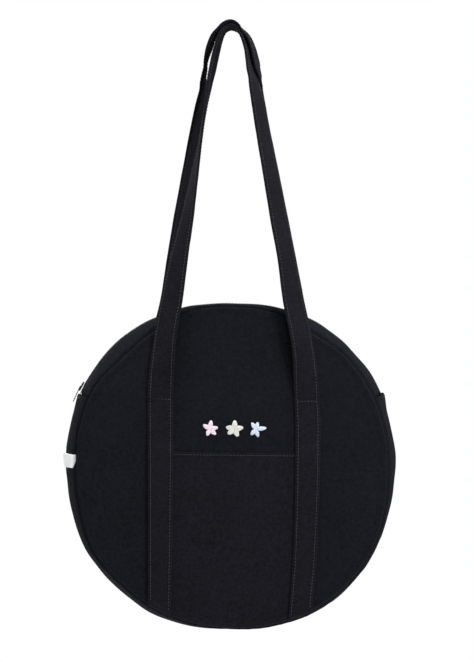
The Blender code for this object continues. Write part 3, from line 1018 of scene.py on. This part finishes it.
def build_pocket():
    edge = STRAP_SPACING / 2 + STRAP_WIDTH / 2 - POCKET_EDGE
    rows = []
    maps = []

    def place(x, down, outwards=0.0):
        """A point of the pocket's outer face, down a share of the way from its top to its bottom edge."""
        z = mix(pocket_mouth(x), rim_bottom(FRONT, x, STRAP_END_MARGIN), down)
        return face_point(FRONT, x, z, LAYER_GAP + POCKET_CLOTH + pocket_lift(x, z) + outwards)

    steps = list(POCKET_HEM)
    steps += [(share, 0.0) for share in spread_values(0.007, 1, 90)]
    for turn in spread_values(0.3, 1.5, 4):
        steps.append((1 + 0.013 * math.sin(turn), POCKET_TUCK_SINK * (1 - math.cos(turn))))
    for down, sink in steps:
        sewn_share = mix((SEW_HEIGHT - POCKET_TOP) / (SEW_HEIGHT + PANEL_RADIUS), 1, down)
        sides = [leg * edge - strap_lean(leg, min(sewn_share, 1)) for leg in (LEFT, RIGHT)]
        row = []
        places = []
        for x in spread_values(*sides, 90):
            row.append(place(x, down, -sink))
            places.append((x, row[-1].z))
        rows.append(row)
        maps.append(places)
    made = cloth("front_pocket_canvas", rows, maps, POCKET_CLOTH, 1, POCKET_LOOK)
    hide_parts("front_pocket")
    shape = ([], [])
    line = []
    reach = STRAP_SPACING / 2 - STRAP_WIDTH / 2 + 0.002
    for x in spread_values(-reach, reach, 80):
        down = POCKET_STITCH_INSET / (pocket_mouth(x) - rim_bottom(FRONT, x, STRAP_END_MARGIN))
        line.append((place(x, down), Vector((0, FRONT, 0))))
    add_stitches(shape, line, radius=STITCH_RADIUS * 0.85)
    stitches = add_mesh("front_pocket_stitches", *shape, [THREAD_LOOK])


def build_label():
    """A folded ribbon: two layers that meet in a fold at the far end."""
    middle = label_middle()
    half_turn = LABEL_HEIGHT / PANEL_RADIUS / 2
    layer = LABEL_THICKNESS * 0.36
    rows = []
    maps = []
    for angle in spread_values(middle - half_turn + LABEL_TRIM / PANEL_RADIUS, middle + half_turn, 24):
        reach = strip_reach(angle)
        start = -reach + LABEL_SHIFT - LABEL_SLANT * (angle - middle) / half_turn
        end = start + LABEL_LENGTH
        bend = LABEL_THICKNESS / 2 - layer / 2
        line = [(y, 0.0) for y in spread_values(start, end - bend, 18)]
        line += [
            (end - bend + bend * math.sin(math.radians(turn)), bend * (1 - math.cos(math.radians(turn))))
            for turn in (30, 60, 90, 120, 150)
        ]
        line += [(y, 2 * bend) for y in spread_values(end - bend, start, 18)]
        row = []
        places = []
        length = 0.0
        turn = (angle - middle) / half_turn
        for i, (y, rise) in enumerate(line):
            curl = LABEL_CURL * ease((y - start) / LABEL_LENGTH) ** 2 * (0.4 + 0.6 * ease(turn / 2 + 0.5))
            row.append(lower_strip_place(angle, y, LAYER_GAP * 2 + layer / 2 + rise + curl))
            if i:
                length += (row[-1] - row[-2]).length
            places.append((length, angle * PANEL_RADIUS))
        rows.append(row)
        maps.append(places)
    made = cloth("side_label_ribbon", rows, maps, layer, 0, label_look())
    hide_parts("side_label")


def build_flowers():
    """Embroidered flowers: each petal is a row of threads that fan out from the heart."""
    for i, flower in enumerate(FLOWERS):
        x0 = (i - 1) * FLOWER_SPACING + flower["shift"][0]
        z0 = BAG_CENTRE + FLOWER_HEIGHT + flower["shift"][1]

        def place(across, up, lift):
            return face_point(FRONT, x0 + across, z0 + up, LAYER_GAP + lift)

        shape = ([], [])
        out = Vector((0, FRONT, 0))
        for petal, (direction, length) in enumerate(flower["petals"]):
            turn = math.radians(direction)
            tall = length * MILLIMETRE
            wide = flower["half_width"] * MILLIMETRE
            count = 17
            for k in range(count):
                q = mix(-1, 1, (k + 0.5) / count)
                wobble = noise.noise(Vector((k * 1.7, petal * 3.3, i * 5.1)))
                reach = tall * (0.76 + 0.24 * (1 - q * q) ** 0.6) * (1 + 0.03 * wobble)
                path = []
                for t in spread_values(0.12, 1.0, 6):
                    a = reach * t
                    b = q * wide * mix(0.5, 1.0, ease(t / 0.62)) * (1 - 0.34 * ease((t - 0.6) / 0.4))
                    arch = (1 - q * q) ** 0.5 * math.sin(math.pi * (0.12 + 0.86 * t)) ** 0.6
                    lift = 0.00012 + 0.00085 * arch - (0.0002 if t == 1.0 else 0)
                    across = a * math.cos(turn) - b * math.sin(turn)
                    up = a * math.sin(turn) + b * math.cos(turn)
                    path.append(place(across, up, lift))
                add_tube(shape, path, PETAL_RADII, out)
        petals_end = len(shape[1])
        spiral = []
        for step in range(70):
            radius = mix(0.0014, 0.0002, step / 69)
            turn = step * 0.55
            lift = 0.00085 + 0.0003 * (1 - radius / 0.0014)
            spiral.append(place(radius * math.cos(turn), radius * math.sin(turn), lift))
        add_tube(shape, spiral, [0.00026] * len(spiral), out, sides=6)
        looks = [
            thread_look("embroidery_" + flower["name"], flower["thread"], 0.42, 0.5, 1800.0),
            thread_look("embroidery_heart_" + flower["name"], flower["heart"], 0.5, 0.4, 1800.0),
        ]
        made = add_mesh("flower_" + flower["name"] + "_embroidery", *shape, looks)
        for polygon in made.data.polygons[petals_end:]:
            polygon.material_index = 1
        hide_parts("flower_" + flower["name"])


# The slider


def rounded_plate(length, width, thickness, corner):
    """A plate with round corners, lying flat, as a bmesh."""
    shape = bmesh.new()
    ring = []
    for cx, cy, start in ((1, 1, 0), (-1, 1, 90), (-1, -1, 180), (1, -1, 270)):
        for step in range(7):
            turn = math.radians(start + step * 15)
            ring.append(
                (
                    cx * (length / 2 - corner) + corner * math.cos(turn),
                    cy * (width / 2 - corner) + corner * math.sin(turn),
                    -thickness / 2,
                )
            )
    face = shape.faces.new([shape.verts.new(point) for point in ring])
    raised = bmesh.ops.extrude_face_region(shape, geom=[face])
    tops = [item for item in raised["geom"] if isinstance(item, bmesh.types.BMVert)]
    bmesh.ops.translate(shape, verts=tops, vec=(0, 0, thickness))
    bmesh.ops.recalc_face_normals(shape, faces=shape.faces)
    return shape


def metal_piece(name, shape, look, rounding):
    """An object from a bmesh, with its edges rounded."""
    data = bpy.data.meshes.new(name)
    shape.to_mesh(data)
    shape.free()
    data.materials.append(look)
    made = bpy.data.objects.new(name, data)
    bpy.context.scene.collection.objects.link(made)
    edges = made.modifiers.new("Rounding", "BEVEL")
    edges.width = rounding
    edges.segments = 3
    edges.limit_method = "ANGLE"
    return made


def build_slider():
    seat = side_strip_point(SLIDER_ANGLE, 0)
    outwards = Vector((math.sin(SLIDER_ANGLE), 0, math.cos(SLIDER_ANGLE)))
    look = metal_look()
    body = rounded_plate(SLIDER_LENGTH, SLIDER_WIDTH, SLIDER_HEIGHT, 0.003)
    for vertex in body.verts:
        nose = ease((vertex.co.x / SLIDER_LENGTH + 0.5) * 1.2)
        vertex.co.y *= mix(0.78, 1.0, nose)
        if vertex.co.z > 0:
            vertex.co.z *= 1 - 0.25 * abs(vertex.co.y / (SLIDER_WIDTH / 2))
    slider = metal_piece("zip_slider_metal", body, look, 0.0004)
    slider.location = seat + outwards * (LAYER_GAP * 2 + SLIDER_HEIGHT / 2)
    slider.rotation_euler = (0, SLIDER_ANGLE, 0)
    plate = rounded_plate(PULL_LENGTH, PULL_WIDTH, PULL_THICKNESS, 0.0026)
    pull = metal_piece("zip_pull_metal", plate, look, 0.00028)
    pull.parent = slider
    pull.location = (
        -PULL_LENGTH / 2 * math.cos(PULL_TILT),
        0,
        SLIDER_HEIGHT / 2 + PULL_THICKNESS / 4 - PULL_LENGTH / 2 * math.sin(PULL_TILT),
    )
    pull.rotation_euler = (0, -PULL_TILT, 0)
    bpy.context.view_layer.update()
    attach(slider, "root")
    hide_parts("zip_slider")


# Floor, light and camera


def add_light(name, place, size, power, aim=(0.0, 0.0, -0.42)):
    data = bpy.data.lights.new(name, "AREA")
    data.shape = "DISK"
    data.size = size
    data.energy = power
    made = bpy.data.objects.new(name, data)
    bpy.context.scene.collection.objects.link(made)
    made.location = place
    made.rotation_euler = (Vector(aim) - Vector(place)).to_track_quat("-Z", "Y").to_euler()


def build_stage():
    scene = bpy.context.scene
    scene.view_settings.view_transform = "Standard"
    scene.view_settings.look = "None"
    world = bpy.data.worlds.new("studio")
    scene.world = world
    world.use_nodes = True
    tree = world.node_tree
    tree.nodes.clear()
    shades = []
    for strength in (FILL_LIGHT, 1.0):
        shades.append(tree.nodes.new("ShaderNodeBackground"))
        shades[-1].inputs["Color"].default_value = (1, 1, 1, 1)
        shades[-1].inputs["Strength"].default_value = strength
    ray = tree.nodes.new("ShaderNodeLightPath")
    both = tree.nodes.new("ShaderNodeMixShader")
    output = tree.nodes.new("ShaderNodeOutputWorld")
    tree.links.new(ray.outputs["Is Camera Ray"], both.inputs[0])
    tree.links.new(shades[0].outputs[0], both.inputs[1])
    tree.links.new(shades[1].outputs[0], both.inputs[2])
    tree.links.new(both.outputs[0], output.inputs["Surface"])

    turns = spread_values(0, 2 * math.pi, 96)[:-1]
    ring = [(FLOOR_RADIUS * math.cos(turn), FLOOR_RADIUS * math.sin(turn), FLOOR_LEVEL) for turn in turns]
    data = bpy.data.meshes.new("floor")
    data.from_pydata(ring, [], [list(range(len(ring)))])
    look, floor_tree, shader, add = new_look("pale_floor", Roughness=0.9)
    mottle = speckle(add, 3.0)
    ramp = remap(add, mottle, 0.3, 0.7, 0.82, 0.85)
    dress(floor_tree, shader, add, (1.0, 1.0, 1.0), ramp)
    data.materials.append(look)
    floor = bpy.data.objects.new("floor", data)
    scene.collection.objects.link(floor)

    add_light("key", (1.6, -2.0, 0.45), 1.0, 34)
    add_light("low", (0.5, -1.9, -1.3), 0.8, 10, aim=(0.0, 0.0, -0.1))
    add_light("left", (-2.4, -0.3, 0.1), 1.2, 27)
    add_light("right", (2.4, -0.2, 0.2), 1.2, 22)
    add_light("top", (0.0, -0.2, 1.9), 0.9, 72)
    add_light("back", (-0.9, 2.5, 0.4), 1.4, 26)

    ahead = Vector((math.sin(CAMERA_TURN), math.cos(CAMERA_TURN), 0))
    lens = bpy.data.cameras.new("camera")
    lens.sensor_fit = "VERTICAL"
    lens.sensor_height = 24
    lens.lens = lens.sensor_height * CAMERA_DISTANCE / VIEW_HEIGHT
    camera = bpy.data.objects.new("camera", lens)
    scene.collection.objects.link(camera)
    camera.location = Vector(VIEW_CENTRE) - ahead * CAMERA_DISTANCE
    camera.rotation_euler = ahead.to_track_quat("-Z", "Y").to_euler()
    scene.camera = camera


build_panels()
build_side_strip()
build_zip_strips()
build_zip()
build_handles()
build_pocket()
build_label()
build_flowers()
build_slider()
build_stage()

bpy.context.view_layer.update()
